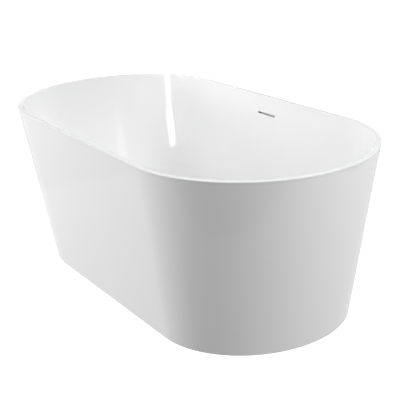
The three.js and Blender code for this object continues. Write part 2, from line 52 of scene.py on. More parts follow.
SHELL = 0.005
GAP = 0.0003
RIM_WIDTH = 0.018
RIM_DEPTH = 0.008
RIM_ROUND = 0.0025
HOLD = 0.001  # distance of a row of points that keeps an edge crisp
INNER_LEAN = 0.1
FLOOR_FALL = 0.004
FLOOR_FILLET = 0.080
DRAIN_HOLE = 0.024
DRAIN_DISH = 0.040
SKIRT_EDGE = 0.004
RIM_END_SHARE = 0.25  # depth of each rounded end, as a share of the length there
BASE_END_SHARE = 0.2246
SLOT_LENGTH = 0.105
SLOT_HEIGHT = 0.008
BATTEN_WIDTH = 0.020
BOARD_HOLE = 0.055
TUBE = 0.030
TUBE_WALL = 0.002
TUBE_CORNER = 0.0035
WELD_RADIUS = 0.0022
WELD_STEP = 0.0008
BRACKET_SHEET = 0.003
BRACKET_BEND = 0.004
BRACKET_BURR = 0.0004
BRACKET_SCREW = 0.007  # distance of the screw from the strip's tip
PORT_Z = 0.118  # height of the overflow port on the waste
HOSE_RADIUS = 0.0125
HOSE_BORE = 0.0103
RIB_PITCH = 0.0048
RIB_DEPTH = 0.0017
CUFF = 0.024  # smooth part of the hose on each spigot
FEET = ("front_left", "front_right", "back_left", "back_right", "middle")
SCREWS = [f"frame_screw_{i}" for i in range(1, 5)]
SIDES = ("front", "back")
ENDS = ("left", "right")
BRACKETS = [f"skirt_bracket_{side}_{end}" for side in SIDES for end in ENDS]

basin_low, basin_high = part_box("inner_basin")
skirt_low, skirt_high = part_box("outer_skirt")
batten_low, batten_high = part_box("base_batten")
HEIGHT = basin_high.z
SKIRT_BOTTOM = skirt_low.z
SKIRT_TOP = skirt_high.z
FLOOR_TOP = basin_low.z + SHELL
WIDEST = HEIGHT - RIM_ROUND  # height of the widest outline

# The walls run straight, so the batten's top and the rim give the outline at every height.
low_half_length = batten_high.x + SHELL + GAP
low_half_width = batten_high.y + SHELL + GAP
SLOPE_X = (basin_high.x - low_half_length) / (WIDEST - batten_high.z)
SLOPE_Y = (basin_high.y - low_half_width) / (WIDEST - batten_high.z)
BASE_HALF_LENGTH = basin_high.x - SLOPE_X * WIDEST
BASE_HALF_WIDTH = basin_high.y - SLOPE_Y * WIDEST
WALL_TILT = atan(SLOPE_Y + INNER_LEAN)


# ---- The oval outline ----

END_STEPS = 80
SIDE_STEPS = 24


def outline_stations():
    """(along, end, across) factors of each point round the outline, anticlockwise from -Y."""
    stations = []
    for side in (1, -1):
        for i in range(END_STEPS):
            angle = pi * (i / END_STEPS - 0.5)
            stations.append((side, side * cos(angle), side * sin(angle)))
        for i in range(SIDE_STEPS):
            stations.append((side * (1 - 2 * i / SIDE_STEPS), 0.0, side))
    return stations


STATIONS = outline_stations()


def outline_size(z, inset=0.0):
    """Half length, half width and end depth of the outer outline at a height, moved inwards."""
    share = min(z / WIDEST, 1.0)
    half_length = BASE_HALF_LENGTH + SLOPE_X * WIDEST * share
    half_width = BASE_HALF_WIDTH + SLOPE_Y * WIDEST * share
    base_depth = 2 * BASE_HALF_LENGTH * BASE_END_SHARE
    end_depth = base_depth + (2 * basin_high.x * RIM_END_SHARE - base_depth) * share
    return half_length - inset, half_width - inset, end_depth - inset


def oval_ring(z, inset=0.0):
    half_length, half_width, end_depth = outline_size(z, inset)
    straight = half_length - end_depth
    return [Vector((along * straight + end * end_depth, across * half_width, z))
            for along, end, across in STATIONS]


def round_ring(radius, z, like):
    """A circle whose points lie in the same directions as those of another ring."""
    up = Vector((0, 0, z))
    return [Vector((point.x, point.y, 0)).normalized() * radius + up for point in like]


def wall_inset(z):
    return RIM_WIDTH + (HEIGHT - z) * INNER_LEAN


def spaced(low, high, count, hold=0.0015):
    """Heights from low to high with a holding row close to each end."""
    inner = [low + (high - low) * i / count for i in range(1, count)]
    return [low, low + hold] + inner + [high - hold, high]


# ---- Mesh helpers ----

SMOOTH_ANGLE = radians(32)


def finish_mesh(mesh, angle=SMOOTH_ANGLE):
    work = bmesh.new()
    work.from_mesh(mesh)
    bmesh.ops.recalc_face_normals(work, faces=work.faces)
    work.to_mesh(mesh)
    work.free()
    mesh.polygons.foreach_set("use_smooth", [True] * len(mesh.polygons))
    mesh.set_sharp_from_angle(angle=angle)
    mesh.update()


def new_object(name, data):
    thing = bpy.data.objects.new(name, data)
    bpy.context.scene.collection.objects.link(thing)
    return thing


def make_object(name, points, faces, angle=SMOOTH_ANGLE):
    mesh = bpy.data.meshes.new(name)
    mesh.from_pydata([tuple(p) for p in points], [], faces)
    finish_mesh(mesh, angle)
    return new_object(name, mesh)


def skin(name, rings, loop=True, angle=SMOOTH_ANGLE):
    """A closed surface over closed rings: a loop of rings, or capped with a fan at both ends."""
    count = len(rings[0])
    points = [p for ring in rings for p in ring]
    faces = []
    for i in range(len(rings) if loop else len(rings) - 1):
        here = i * count
        there = (i + 1) % len(rings) * count
        for j in range(count):
            k = (j + 1) % count
            faces.append((here + j, here + k, there + k, there + j))
    if not loop:
        faces.append(tuple(reversed(range(count))))
        faces.append(tuple(range(len(points) - count, len(points))))
    return make_object(name, points, faces, angle)


def shift(x, y, z):
    return Matrix.Translation((x, y, z))


def spin(angle, axis):
    return Matrix.Rotation(angle, 4, axis)


AXES = {"Z": Matrix(), "X": spin(pi / 2, "Y"), "Y": spin(-pi / 2, "X")}


def section(inner, outer, low, high):
    """The profile of a plain ring, or of a plain rod when inner is 0."""
    return [(inner, low), (outer, low), (outer, high), (inner, high)]


def turned(name, profile, place=(0, 0, 0), axis="Z", sides=64):
    """A piece turned about an axis from (radius, height) points in millimetres.

    The profile is a closed loop, or starts and ends on the axis. A radius may be a function of
    the angle and the height, for hexagons, flutes and threads.
    """
    on_axis = profile[0][0] == 0
    rings = []
    for radius, height in profile[1:-1] if on_axis else profile:
        ring = []
        for i in range(sides):
            turn = 2 * pi * i / sides
            reach = radius(turn, height) if callable(radius) else radius
            ring.append(Vector((reach * cos(turn), reach * sin(turn), height)) * 0.001)
        rings.append(ring)
    piece = skin(name, rings, loop=not on_axis)
    piece.data.transform(shift(*place) @ AXES[axis])
    return piece


def hexagon(corner, limit=inf):
    """The radius of a hexagon with corners on Y, cut off at limit for a chamfer."""
    def radius(turn, height):
        from_flat = turn % (pi / 3) - pi / 3 * round(turn % (pi / 3) / (pi / 3))
        return min(corner * cos(pi / 6) / cos(from_flat), limit)
    return radius


def fluted(outer, depth, count):
    """The radius of a grip with count soft ribs."""
    def radius(turn, height):
        return outer - depth * (0.5 - 0.5 * cos(count * turn)) ** 2
    return radius


def thread(outer, depth, pitch, low, high):
    """Profile points of a screw thread that runs in and out over its first and last turns."""
    def radius(turn, height):
        ramp = min(1, (height - low) / pitch, (high - height) / pitch)
        phase = (height / pitch - turn / (2 * pi)) % 1
        return outer - depth * (1 - ramp * (1 - abs(2 * phase - 1)))
    count = round((high - low) / pitch * 4)
    return [(radius, low + (high - low) * i / count) for i in range(count + 1)]


def block(name, size, bevel):
    """A small block with rounded edges, centred on the origin."""
    work = bmesh.new()
    bmesh.ops.create_cube(work, size=1.0)
    bmesh.ops.scale(work, vec=size, verts=work.verts)
    bmesh.ops.bevel(work, geom=work.edges[:], offset=bevel, segments=3, profile=0.5, affect="EDGES")
    mesh = bpy.data.meshes.new(name)
    work.to_mesh(mesh)
    work.free()
    finish_mesh(mesh)
    return new_object(name, mesh)


def merge(piece, other):
    """Adds other's surface to piece, which keeps both bodies whole. other is used up."""
    work = bmesh.new()
    work.from_mesh(piece.data)
    work.from_mesh(other.data)
    work.to_mesh(piece.data)
    work.free()
    bpy.data.objects.remove(other)
    finish_mesh(piece.data)


def centre(node):
    low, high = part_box(node)
    return (low + high) / 2


def rounded(corners, radius, steps=3):
    """A closed (radius, height) profile with its corners rounded off."""
    points = []
    count = len(corners)
    for i, corner in enumerate(corners):
        here = Vector(corner)
        before = Vector(corners[i - 1]) - here
        after = Vector(corners[(i + 1) % count]) - here
        reach = min(radius, before.length * 0.45, after.length * 0.45)
        if corner[0] == 0:
            points.append(tuple(here))
            continue
        start = here + before.normalized() * reach
        end = here + after.normalized() * reach
        for k in range(steps + 1):
            t = k / steps
            points.append(tuple(start.lerp(here, t).lerp(here.lerp(end, t), t)))
    return points


def combine(piece, other, operation):
    """Cuts, joins or intersects piece with other, which is used up."""
    modifier = piece.modifiers.new("combine", "BOOLEAN")
    modifier.operation = operation
    modifier.solver = "EXACT"
    modifier.object = other
    bpy.context.view_layer.update()
    evaluated = piece.evaluated_get(bpy.context.evaluated_depsgraph_get())
    result = bpy.data.meshes.new_from_object(evaluated)
    piece.modifiers.clear()
    piece.data = result
    result.name = piece.name
    bpy.data.objects.remove(other)
    finish_mesh(result)


def bar_ring(length, height, depth, steps=12):
    """A bar outline with round ends, lying along X at a depth along +Y."""
    radius = height / 2
    reach = length / 2 - radius
    ring = []
    for side in (1, -1):
        for i in range(steps + 1):
            angle = pi * (i / steps - 0.5)
            x = side * (reach + radius * cos(angle))
            ring.append(Vector((x, depth, side * radius * sin(angle))))
    return ring


def dress(piece, slot, body, *nodes):
    """Gives a finished piece the look of its slot and its body, and hides the CAD nodes it stands
    for.
    """
    piece.data.materials.clear()
    piece.data.materials.append(LOOKS[slot])
    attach(piece, body)
    if nodes:
        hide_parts(*nodes)


def turned_node(node, suffix, slot, body, profile, *place, **options):
    """A turned piece that is finished as it is and stands for one CAD node."""
    dress(turned(f"{node}_{suffix}", profile, *place, **options), slot, body, node)


# ---- Materials ----


def set_inputs(node, values):
    for key, value in values.items():
        node.inputs[key].default_value = value


class Nodes:
    """Short ways to build a node tree."""

    def __init__(self, tree):
        self.tree = tree

    def add(self, kind, values=None, **settings):
        """Adds a node, with its settings and the values of its unlinked inputs."""
        node = self.tree.nodes.new(kind)
        for key, value in settings.items():
            setattr(node, key, value)
        set_inputs(node, values or {})
        return node

    def link(self, output, target):
        self.tree.links.new(output, target)

    def map_range(self, factor, start, end, low, high, **settings):
        values = {"From Min": start, "From Max": end, "To Min": low, "To Max": high}
        node = self.add("ShaderNodeMapRange", values, **settings)
        self.link(factor, node.inputs["Value"])
        return node.outputs["Result"]


class Look(Nodes):
    """A procedural material: noise-driven colour and roughness on one Principled shader."""

    def __init__(self, name, metallic=0.0, specular=0.5):
        self.material = bpy.data.materials.new(name)
        self.material.use_nodes = True
        super().__init__(self.material.node_tree)
        self.shader = self.tree.nodes["Principled BSDF"]
        set_inputs(self.shader, {"Metallic": metallic, "Specular IOR Level": specular})
        self.place = self.add("ShaderNodeTexCoord").outputs["Object"]

    def stretched(self, scale):
        mapping = self.add("ShaderNodeMapping", {"Scale": scale})
        self.link(self.place, mapping.inputs["Vector"])
        return mapping.outputs["Vector"]

    def noise(self, scale, detail=3.0, source=None, distortion=0.0):
        values = {"Scale": scale, "Detail": detail, "Distortion": distortion}
        node = self.add("ShaderNodeTexNoise", values)
        self.link(source or self.place, node.inputs["Vector"])
        return node.outputs["Fac"]

    def cells(self, scale):
        node = self.add("ShaderNodeTexVoronoi", {"Scale": scale})
        self.link(self.place, node.inputs["Vector"])
        return node.outputs["Color"]

    def ramp(self, factor, stops):
        node = self.add("ShaderNodeValToRGB")
        elements = node.color_ramp.elements
        for i, (position, colour) in enumerate(stops):
            element = elements[i] if i < 2 else elements.new(position)
            element.position = position
            element.color = (*colour, 1.0)
        self.link(factor, node.inputs["Fac"])
        return node.outputs["Color"]

    def colour(self, output):
        self.link(output, self.shader.inputs["Base Color"])

    def roughness(self, factor, low, high, start=0.3, end=0.7):
        result = self.map_range(factor, start, end, low, high)
        self.link(result, self.shader.inputs["Roughness"])

    def bump(self, height, distance, strength):
        node = self.add("ShaderNodeBump", {"Strength": strength, "Distance": distance})
        self.link(height, node.inputs["Height"])
        self.link(node.outputs["Normal"], self.shader.inputs["Normal"])

    def worn_edges(self, base, worn):
        """Mixes a base colour output towards a worn colour where edges stick out."""
        geometry = self.add("ShaderNodeNewGeometry")
        mask = self.map_range(geometry.outputs["Pointiness"], 0.52, 0.6, 0.0, 1.0)
        mix = self.add("ShaderNodeMix", {7: (*worn, 1.0)}, data_type="RGBA")
        self.link(mask, mix.inputs["Factor"])
        self.link(base, mix.inputs[6])  # inputs 6 and 7 and output 2 are the colour ones
        return mix.outputs[2]


def grey(value):
    return (value, value, value)


def acrylic_look():
    look = Look("acrylic_white")
    set_inputs(look.shader, {"IOR": 1.49})
    tone = look.noise(2.2, 2.0)
    look.colour(look.ramp(tone, [(0.3, (0.885, 0.885, 0.888)), (0.7, (0.900, 0.900, 0.902))]))
    look.roughness(look.noise(9.0, 4.0), 0.018, 0.04)
    look.bump(look.noise(55.0, 2.0), 0.00001, 0.2)
    return look.material


def chrome_look():
    look = Look("polished_chrome", metallic=1.0)
    haze = look.noise(120.0, 4.0)
    look.colour(look.ramp(haze, [(0.3, (0.74, 0.75, 0.77)), (0.7, (0.82, 0.83, 0.84))]))
    look.roughness(look.noise(260.0, 3.0), 0.04, 0.13)
    look.bump(look.noise(900.0), 0.00001, 0.3)
    return look.material


def galvanised_look():
    look = Look("galvanised_steel", metallic=1.0)
    flakes = look.cells(95.0)
    tone = look.ramp(flakes, [(0.1, (0.40, 0.42, 0.44)), (0.9, (0.66, 0.68, 0.69))])
    look.colour(look.worn_edges(tone, (0.74, 0.75, 0.75)))
    look.roughness(flakes, 0.28, 0.52, 0.1, 0.9)
    look.bump(look.noise(240.0), 0.00008, 0.4)
    return look.material


def zinc_look():
    look = Look("bright_zinc", metallic=1.0)
    film = look.noise(70.0, 5.0, distortion=0.6)
    tone = look.ramp(film, [(0.25, (0.60, 0.61, 0.56)), (0.75, (0.74, 0.76, 0.76))])
    look.colour(look.worn_edges(tone, (0.82, 0.82, 0.80)))
    look.roughness(look.noise(300.0), 0.22, 0.42)
    look.bump(look.noise(700.0), 0.00003, 0.4)
    return look.material


def timber_look():
    look = Look("sealed_softwood", specular=0.35)
    along = look.stretched((2.5, 22.0, 22.0))
    grain = look.noise(5.0, 8.0, source=along, distortion=1.2)
    stops = [(0.25, (0.42, 0.27, 0.13)), (0.5, (0.62, 0.45, 0.26)), (0.75, (0.74, 0.58, 0.37))]
    look.colour(look.ramp(grain, stops))
    look.roughness(grain, 0.55, 0.85)
    look.bump(grain, 0.0004, 0.5)
    return look.material


def board_look():
    look = Look("resin_particle_board", specular=0.4)
    chips = look.cells(210.0)
    stops = [(0.1, (0.50, 0.40, 0.27)), (0.5, (0.68, 0.58, 0.43)), (0.9, (0.80, 0.73, 0.60))]
    look.colour(look.ramp(chips, stops))
    look.roughness(look.noise(40.0), 0.45, 0.75)
    look.bump(chips, 0.0003, 0.4)
    return look.material


def rubber_look():
    look = Look("sealing_rubber", specular=0.3)
    bloom = look.noise(60.0, 5.0)
    look.colour(look.ramp(bloom, [(0.3, (0.018, 0.018, 0.019)), (0.75, (0.045, 0.045, 0.047))]))
    look.roughness(bloom, 0.65, 0.9)
    look.bump(look.noise(900.0), 0.00006, 0.5)
    return look.material


def plastic_look(name, dark, light, rough, grain):
    look = Look(name, specular=0.45)
    tone = look.noise(18.0, 4.0)
    look.colour(look.worn_edges(look.ramp(tone, [(0.3, dark), (0.7, light)]), light))
    look.roughness(look.noise(45.0), rough, rough + 0.16)
    look.bump(look.noise(grain), 0.00005, 0.5)
    return look.material


LOOKS = {
    "acrylic": acrylic_look(),
    "chrome": chrome_look(),
    "steel": galvanised_look(),
    "zinc": zinc_look(),
    "timber": timber_look(),
    "board": board_look(),
    "rubber": rubber_look(),
    "pad_plastic": plastic_look("pad_nylon", grey(0.022), grey(0.05), 0.45, 1400.0),
    "waste_plastic": plastic_look("waste_polypropylene", grey(0.66), grey(0.76), 0.28, 800.0),
    "hose_plastic": plastic_look("hose_pvc", grey(0.30), grey(0.40), 0.35, 500.0),
}


def carry_over():
    """Every CAD node gets its slot's material, whether or not a finer piece replaces it."""
    for entry in frame["record"]["subparts"]:
        node = frame["nodes"][entry["node"]]
        for material_slot in node.material_slots:
            material_slot.material = LOOKS[entry["material_slot"]]


# ---- Shells ----


def drain_to_wall(thickness):
    """Rings from the drain hole out over the floor and up the fillet, to the foot of the wall."""
    floor = FLOOR_TOP - thickness
    fillet = FLOOR_FILLET + thickness
    edge_z = floor + FLOOR_FALL
    edge = oval_ring(edge_z, wall_inset(edge_z) - thickness + fillet)
    dish = round_ring(DRAIN_DISH, floor, edge)
    rings = [round_ring(DRAIN_HOLE, floor, edge)]
    rings.append(round_ring(DRAIN_HOLE + 0.002, floor, edge))
    for share in (0.0, 0.05, 0.12, 0.22, 0.36, 0.52, 0.68, 0.84, 0.96):
        rings.append([a.lerp(b, share) for a, b in zip(dish, edge)])
    steps = 18
    for i in range(steps + 1):
        angle = pi / 2 * i / steps
        z = edge_z + fillet * (1 - cos(angle))
        rings.append(oval_ring(z, wall_inset(z) - thickness + fillet * (1 - sin(angle))))
    return rings, edge_z + fillet


def corner_rings(z, inset, radius, start, end, steps=5):
    """Rings round a small quarter-round edge centred at a height and an inset."""
    angles = [radians(start + (end - start) * i / steps) for i in range(steps + 1)]
    return [oval_ring(z + radius * sin(a), inset - radius * cos(a)) for a in angles]


def build_basin():
    inside, wall_foot = drain_to_wall(0.0)
    top = HEIGHT - RIM_ROUND
    inside += [oval_ring(z, wall_inset(z)) for z in spaced(wall_foot, top, 12)[1:]]
    inner_edge = corner_rings(top, wall_inset(top) - RIM_ROUND, RIM_ROUND, 180, 90)
    outer_edge = corner_rings(top, RIM_ROUND, RIM_ROUND, 90, 0)
    flat = (wall_inset(top) - RIM_ROUND - HOLD, RIM_ROUND + HOLD)
    middle = [oval_ring(HEIGHT, inset) for inset in flat]
    lip_bottom = HEIGHT - RIM_DEPTH
    lip = [oval_ring(top - HOLD), oval_ring(lip_bottom)]
    under, under_foot = drain_to_wall(SHELL)
    heights = spaced(under_foot, lip_bottom, 6)[:0:-1]
    outside = [oval_ring(z, wall_inset(z) - SHELL) for z in heights]
    rings = inside + inner_edge[1:] + middle + outer_edge + lip + outside + list(reversed(under))
    piece = skin("basin_shell", rings)
    combine(piece, slot_cutter(), "DIFFERENCE")
    dress(piece, "acrylic", "root", "inner_basin")


def build_skirt():
    edge = [
        oval_ring(SKIRT_BOTTOM + SKIRT_EDGE * (1 - sin(a)), SKIRT_EDGE * (1 - cos(a)))
        for a in (pi / 2 * (1 - i / 6) for i in range(7))
    ]
    outside = [oval_ring(z) for z in spaced(SKIRT_BOTTOM + SKIRT_EDGE, SKIRT_TOP, 12)[1:]]
    inside = [oval_ring(z, SHELL) for z in reversed(spaced(SKIRT_BOTTOM, SKIRT_TOP, 6))]
    piece = skin("skirt_shell", edge + outside + inside)
    dress(piece, "acrylic", "root", "outer_skirt")


# ---- Overflow slot ----

trim_low, trim_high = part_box("overflow_trim")
SLOT_Z = (trim_low.z + trim_high.z) / 2
SLOT_Y = outline_size(SLOT_Z, wall_inset(SLOT_Z))[1]
SLOT_PLACE = shift(0, SLOT_Y, SLOT_Z) @ spin(-WALL_TILT, "X")
TRIM_LIP = 0.0012
TRIM_PROUD = 0.0015


def slot_cutter():
    length = SLOT_LENGTH + 2 * GAP
    height = SLOT_HEIGHT + 2 * GAP
    rings = [bar_ring(length, height, depth) for depth in (-0.01, 0.02)]
    cutter = skin("slot_cutter", rings, loop=False)
    cutter.data.transform(SLOT_PLACE)
    return cutter


def build_overflow_trim():
    """A white sleeve with a softly rounded lip that lies on the basin wall."""
    wall = 0.0010
    back = SHELL + 0.0006
    lip_back = -GAP
    rings = []
    for grow, depth in [
        (-wall, back), (0, back), (0, lip_back), (TRIM_LIP, lip_back), (TRIM_LIP, -0.0008),
        (TRIM_LIP * 0.8, -0.0012), (TRIM_LIP * 0.4, -TRIM_PROUD), (0, -TRIM_PROUD),
        (-wall * 0.6, -0.0012), (-wall, -0.0004), (-wall, 0.002),
    ]:
        rings.append(bar_ring(SLOT_LENGTH + 2 * grow, SLOT_HEIGHT + 2 * grow, depth))
    piece = skin("overflow_slot_trim", rings, angle=radians(60))
    piece.data.transform(SLOT_PLACE)
    dress(piece, "acrylic", "root", "overflow_trim")


# ---- Batten, board and frame ----

CHAMFER = 0.0015


def build_batten():
    """The ring of timber bonded inside the skirt, with its arrises taken off."""
    outer = SHELL + GAP
    inner = outer + BATTEN_WIDTH
    low, high = batten_low.z, batten_high.z
    rings = [
        oval_ring(low, outer + CHAMFER), oval_ring(low + CHAMFER, outer),
        oval_ring(high - CHAMFER, outer), oval_ring(high, outer + CHAMFER),
        oval_ring(high, inner - CHAMFER), oval_ring(high - CHAMFER, inner),
        oval_ring(low + CHAMFER, inner), oval_ring(low, inner - CHAMFER),
    ]
    piece = skin("batten_ring", rings)
    dress(piece, "timber", "root", "base_batten")


def build_board():
    """A board with round ends and rounded edges, with a hole for the waste."""
    low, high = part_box("base_board")
    radius = high.y
    straight = high.x - radius

    def outline(z, inset):
        reach = radius - inset
        return [Vector((along * straight + end * reach, across * reach, z))
                for along, end, across in STATIONS]

    rings = [outline(low.z, CHAMFER), outline(low.z + CHAMFER, 0)]
    rings += [outline(high.z - CHAMFER, 0), outline(high.z, CHAMFER)]
    like = rings[0]
    for grow, z in ((HOLD, high.z), (0, high.z - HOLD), (0, low.z + HOLD), (HOLD, low.z)):
        rings.append(round_ring(BOARD_HOLE + grow, z, like))
    piece = skin("base_board_panel", rings)
    dress(piece, "board", "root", "base_board")


def rounded_box(half_width, low, high, corner, steps=4):
    """(across, up) points of a rectangle with rounded corners."""
    points = []
    for quarter in range(4):
        middle = pi / 2 * quarter + pi / 4
        across = copysign(half_width - corner, cos(middle))
        up = high - corner if sin(middle) > 0 else low + corner
        for i in range(steps + 1):
            angle = middle + pi / 2 * (i / steps - 0.5)
            points.append((across + corner * cos(angle), up + corner * sin(angle)))
    return points


def square_ring(half, corner, x, steps=4):
    """A square outline with rounded corners, square to X."""
    return [Vector((x, y, z)) for y, z in rounded_box(half, -half, half, corner, steps)]


def square_tube(name, length):
    """An open-ended square tube along X with a rolled outer corner, centred on the origin."""
    half = TUBE / 2
    end = length / 2
    burr = 0.0004
    rings = [
        square_ring(half - burr, TUBE_CORNER, -end), square_ring(half, TUBE_CORNER, burr - end),
        square_ring(half, TUBE_CORNER, end - burr), square_ring(half - burr, TUBE_CORNER, end),
        square_ring(half - TUBE_WALL, TUBE_CORNER - TUBE_WALL, end),
        square_ring(half - TUBE_WALL, TUBE_CORNER - TUBE_WALL, -end),
    ]
    return skin(name, rings)


def drill(piece, radius, low, high, x, y):
    """Cuts a round hole along Z through a piece. Radius and heights in millimetres."""
    drill_bit = turned("drill", section(0, radius, low, high), (x, y, 0), sides=32)
    combine(piece, drill_bit, "DIFFERENCE")


tube_low, tube_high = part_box("frame_rail_front")
TUBE_Z = (tube_low.z + tube_high.z) / 2
# Radii in millimetres.
INSERT_HOLE = 9
HEAD_HOLE = 8
SCREW_HOLE = 3.2


def build_frame():
    low = tube_low.z * 1000 - 5
    middle = TUBE_Z * 1000
    high = tube_high.z * 1000 + 5
    for side in SIDES:
        node = f"frame_rail_{side}"
        box_low, box_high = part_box(node)
        y = (box_low.y + box_high.y) / 2
        piece = square_tube(f"rail_tube_{side}", box_high.x - box_low.x)
        piece.data.transform(shift(0, y, TUBE_Z))
        for end in ENDS:
            drill(piece, INSERT_HOLE, low, middle, centre(f"foot_rod_{side}_{end}").x, y)
        for screw in SCREWS:
            place = centre(screw)
            if place.y * y > 0:
                drill(piece, HEAD_HOLE, low, middle, place.x, y)
                drill(piece, SCREW_HOLE, low, high, place.x, y)
        dress(piece, "steel", "root", node)
    for name in ("left", "middle", "right"):
        node = f"frame_crossbar_{name}"
        box_low, box_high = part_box(node)
        x = (box_low.x + box_high.x) / 2
        piece = square_tube(f"crossbar_tube_{name}", box_high.y - box_low.y)
        piece.data.transform(shift(x, 0, TUBE_Z) @ spin(pi / 2, "Z"))
        if name == "middle":
            drill(piece, INSERT_HOLE, low, middle, x, 0)
        dress(piece, "steel", "root", node)
        for side, y in zip(SIDES, (box_low.y, box_high.y)):
            build_weld(f"weld_{name}_{side}", (x, y, TUBE_Z))


def build_weld(name, place):
    """A rippled bead round the end of a cross bar, where it meets a rail."""
    around = square_ring(TUBE / 2, TUBE_CORNER, 0, steps=2)
    path = []
    for i, point in enumerate(around):
        following = around[(i + 1) % len(around)]
        count = max(1, round((following - point).length / WELD_STEP))
        path += [point.lerp(following, k / count) for k in range(count)]
    rings = []
    for i, point in enumerate(path):
        radius = WELD_RADIUS * (1 + 0.16 * sin(i * 1.3) + 0.07 * sin(i * 0.37))
        outwards = Vector((0, point.y, point.z)).normalized()
        ring = []
        for k in range(8):
            angle = 2 * pi * k / 8
            sideways = Vector((radius * sin(angle), 0, 0))
            ring.append(point + outwards * radius * cos(angle) + sideways)
        rings.append(ring)
    piece = skin(name, rings, angle=pi)
    piece.data.transform(shift(*place) @ spin(pi / 2, "Z"))
    dress(piece, "steel", "root")


def build_screws():
    """Pan-head screws with a hexagon socket, driven up through the rails into the board."""
    for node in SCREWS:
        low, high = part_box(node)
        head, tip = low.z * 1000, high.z * 1000
        profile = [
            (0, head + 1.6), (hexagon(2.8), head + 1.6), (hexagon(2.8), head + 0.3), (3.3, head),
            (5.2, head), (6, head + 0.7), (6, head + 3.4), (5.7, head + 4), (2.3, head + 4),
            *thread(2.3, 0.35, 1.4, head + 4.6, tip - 2.4), (1.6, tip - 1.8), (0.3, tip), (0, tip),
        ]
        place = centre(node)
        spot = (place.x, place.y, 0)
        turned_node(node, "threaded", "zinc", "root", profile, spot, sides=24)


def bracket_section(near, far, low, high):
    """The side view of an L-shaped strip with a rounded bend, as (distance from X, height)."""
    bend = BRACKET_BEND
    reach = bend - BRACKET_SHEET
    inner = [(near, high), (near, low + bend)]
    outer = [(far, low + BRACKET_SHEET), (near + bend, low + BRACKET_SHEET)]
    for i in range(6):
        angle = pi / 2 * i / 5
        inner.append((near + bend * (1 - cos(angle)), low + bend * (1 - sin(angle))))
    inner.append((far, low))
    for i in range(6):
        angle = pi / 2 * (1 - i / 5)
        outer.append((near + bend - reach * cos(angle), low + bend - reach * sin(angle)))
    outer.append((near + BRACKET_SHEET, high))
    return inner + outer


def build_brackets():
    """Bent steel strips from the rails to the batten, each held by a bolt and a screw."""
    for node in BRACKETS:
        low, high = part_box(node)
        side = 1 if high.y > 0 else -1
        near = min(abs(low.y), abs(high.y))
        far = max(abs(low.y), abs(high.y))
        burr = BRACKET_BURR
        rings = []
        for x, inset in ((low.x, burr), (low.x + burr, 0), (high.x - burr, 0), (high.x, burr)):
            rings.append([Vector((x, side * min(y, far - inset), min(z, high.z - inset)))
                          for y, z in bracket_section(near, far, low.z, high.z)])
        piece = skin(f"{node}_strip", rings, loop=False)
        x = (low.x + high.x) / 2
        bolt = [
            (0, 0), (8, 0), (8.4, 0.3), (8.4, 1.1), (hexagon(7.5), 1.3), (hexagon(7.5), 4.6),
            (hexagon(7.5, 6.9), 5.3), (0, 5.3),
        ]
        head = turned("bolt", bolt, (x, 0, TUBE_Z), axis="Y", sides=24)
        mirror = Matrix.Diagonal((1, side, 1, 1))
        head.data.transform(mirror @ shift(0, near + BRACKET_SHEET, 0))
        merge(piece, head)
        screw = [(0, 1.1), (1.8, 1.1), (2.2, 2.3), (3.2, 2.2), (4.4, 1.2), (4.7, 0), (0, 0)]
        place = (x, side * (far - BRACKET_SCREW), low.z + BRACKET_SHEET)
        merge(piece, turned("screw", screw, place, sides=24))
        dress(piece, "zinc", "root", node)


# ---- Levelling feet ----


def build_foot(side):
    place = centre(f"foot_pad_{side}")
    spot = (place.x, place.y, 0)
    grip = fluted(25, 0.6, 30)
    sole = [(0, 0)]
    for radius in (5, 11, 17):
        sole += [(radius, 0), (radius + 0.7, 0.8), (radius + 2.3, 0.8), (radius + 3, 0)]
    turned_node(f"foot_pad_{side}", "moulded", "pad_plastic", f"foot_{side}", sole + [
        (23.6, 0), (24.6, 0.3), (25, 1), (grip, 1.4), (grip, 3.6), (24.8, 4.1), (23.8, 5),
        (20.4, 7.7), (19.4, 8.2), (13, 11.4), (12, 11.9), (11, 12), (9, 12), (8.3, 11.5),
        (8.3, 5), (0, 5),
    ], spot, sides=120)

    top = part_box(f"foot_rod_{side}")[1].z * 1000
    turned_node(f"foot_rod_{side}", "threaded", "zinc", f"rod_{side}", [
        (0, 5.3), (6.4, 5.3), (7.6, 6), (8, 7.4), (8, 11), (7.4, 12.6), (6, 14.4), (6, 15.8),
        (hexagon(10, 9.3), 16), (hexagon(10), 16.8), (hexagon(10), 25.2), (hexagon(10, 9.3), 26),
        (5.3, 26.1), *thread(6, 0.75, 1.75, 27, top - 2), (5.1, top - 1.2), (4.6, top), (0, top),
    ], spot, sides=24)

    low, high = (corner.z * 1000 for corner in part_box(f"foot_lock_nut_{side}"))
    turned_node(f"foot_lock_nut_{side}", "chamfered", "zinc", "root", [
        (6.4, low + 0.6), (6.9, low), (hexagon(10.5, 9.4), low), (hexagon(10.5), low + 0.9),
        (hexagon(10.5), high - 0.9), (hexagon(10.5, 9.4), high), (6.9, high), (6.4, high - 0.6),
    ], spot, sides=48)

    low, high = (corner.z * 1000 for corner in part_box(f"foot_insert_{side}"))
    turned_node(f"foot_insert_{side}", "pressed", "zinc", "root", [
        (6.4, low + 0.4), (6.8, low), (11.5, low), (12, low + 0.4), (12, low + 0.9),
        (11.7, low + 1.2), (8.7, low + 1.2), (8.7, low + 3), (8.3, low + 3.6), (8.3, high - 3),
        (8.7, high - 2.4), (8.5, high - 0.3), (8.2, high), (6.8, high), (6.4, high - 0.4),
    ], spot, sides=48)


# ---- Waste, plug, trap and outlet: profiles in millimetres ----

SPIGOT_BORE = 7.5


